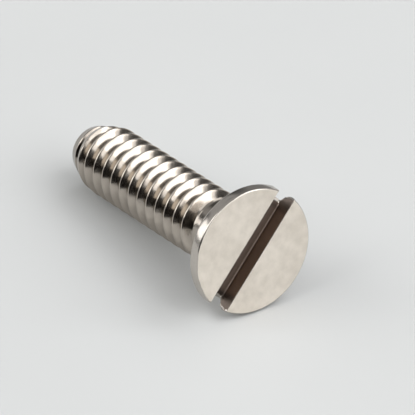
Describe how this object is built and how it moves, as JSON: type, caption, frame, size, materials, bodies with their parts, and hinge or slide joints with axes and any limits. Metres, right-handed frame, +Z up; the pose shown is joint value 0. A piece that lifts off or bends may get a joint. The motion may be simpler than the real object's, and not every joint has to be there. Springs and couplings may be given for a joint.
{
  "type": "slotted flat head machine screw",
  "caption": "Slotted countersunk flat head machine screw, threaded almost to the head, for clamping a part so that the head sits flush.",
  "frame": {"origin": "on the ground under the middle of the screw as it lies", "axes": "+X from the head towards the point, +Z up, +Y across; the screw's own axis dips 6.8 degrees towards the point"},
  "size_m": [0.0196, 0.0086, 0.0085],
  "materials": {
    "screw_metal": "bright rolled stainless thread, fine matt face on the head"
  },
  "bodies": {
    "root": {"screw": "screw_metal"}
  },
  "joints": []
}
